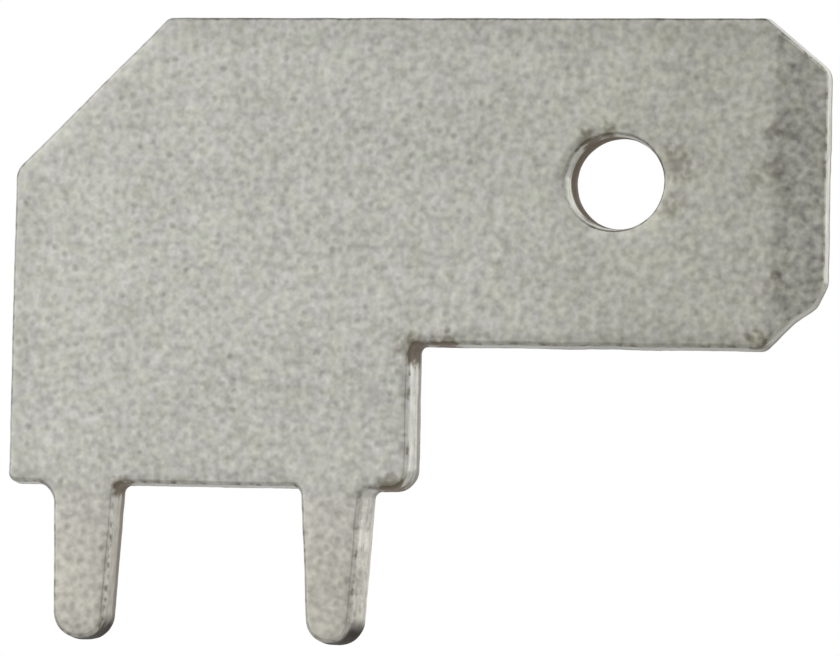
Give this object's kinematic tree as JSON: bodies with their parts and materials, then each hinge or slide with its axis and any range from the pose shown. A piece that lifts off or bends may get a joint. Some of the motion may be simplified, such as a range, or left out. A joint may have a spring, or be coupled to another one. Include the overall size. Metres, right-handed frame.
{
  "type": "pcb tab terminal",
  "caption": "Right-angle male tab terminal for a circuit board: a flat stamping with tapered solder legs, a clipped back corner and a pierced push-on blade with a pressed lead-in.",
  "frame": {"origin": "on the board's surface, midway between the solder legs and in the middle of the sheet's thickness", "axes": "+X along the blade to its tip, +Z away from the board; the face with the drawn-in edges looks to -Y"},
  "size_m": [0.0159, 0.0008, 0.0121],
  "materials": {
    "tin_plate": "matt tin plate over brass sheet, pale warm grey with a fine mottled grain"
  },
  "bodies": {
    "root": {"tab_terminal": "tin_plate"}
  },
  "joints": []
}
